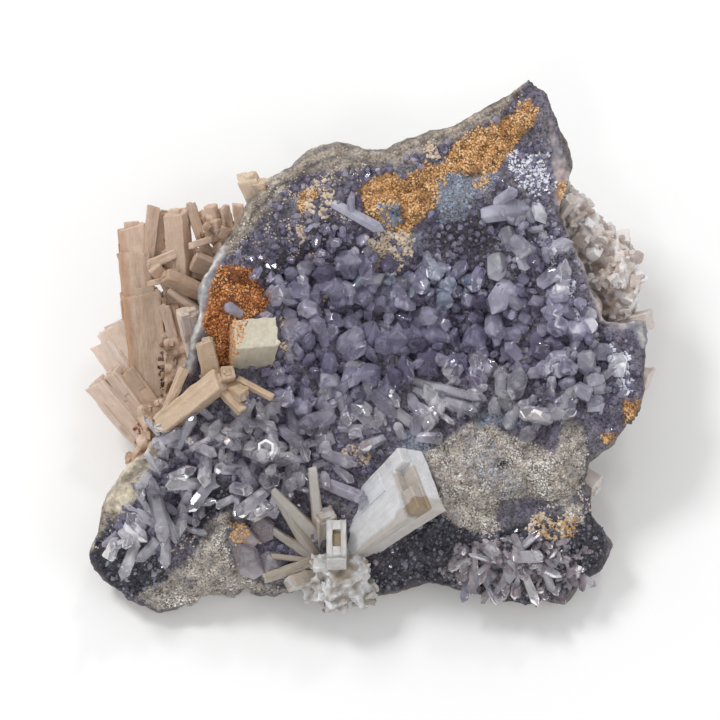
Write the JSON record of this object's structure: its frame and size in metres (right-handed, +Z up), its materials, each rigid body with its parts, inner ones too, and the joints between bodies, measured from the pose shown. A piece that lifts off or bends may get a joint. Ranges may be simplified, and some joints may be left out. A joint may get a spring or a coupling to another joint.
{
  "type": "anhydrite and quartz specimen",
  "caption": "Hand-size mineral specimen: a grey plate with a quartz-lined hollow and blocky cream anhydrite crystals, lying on its flat broken back as a display piece.",
  "frame": {"origin": "middle of the flat broken base, on the surface that the specimen lies on", "axes": "+Z up; +X to the right and +Y away when the face, which leans 22 degrees from level, is looked down on"},
  "size_m": [0.1089, 0.0942, 0.0513],
  "materials": {
    "stone": "rough grey chalcedony with tan and ochre granular crusts and a tan rind",
    "quartz": "clear to lilac-grey quartz prisms with glassy faces",
    "cream_anhydrite": "waxy cream anhydrite, slightly translucent, with brown stains",
    "tan_anhydrite": "dull tan to pinkish anhydrite with fine grooves along its length",
    "white_anhydrite": "sugary white to pinkish-cream anhydrite lumps"
  },
  "bodies": {
    "root": {"matrix": "stone", "quartz_crust": "quartz", "quartz_lower_right": "quartz", "block_cluster": "cream_anhydrite", "rim_block": "cream_anhydrite", "rim_prisms": "cream_anhydrite", "left_cluster": "tan_anhydrite", "top_left_stub": "tan_anhydrite", "right_cluster": "white_anhydrite", "lower_right_tip": "tan_anhydrite"}
  },
  "joints": []
}
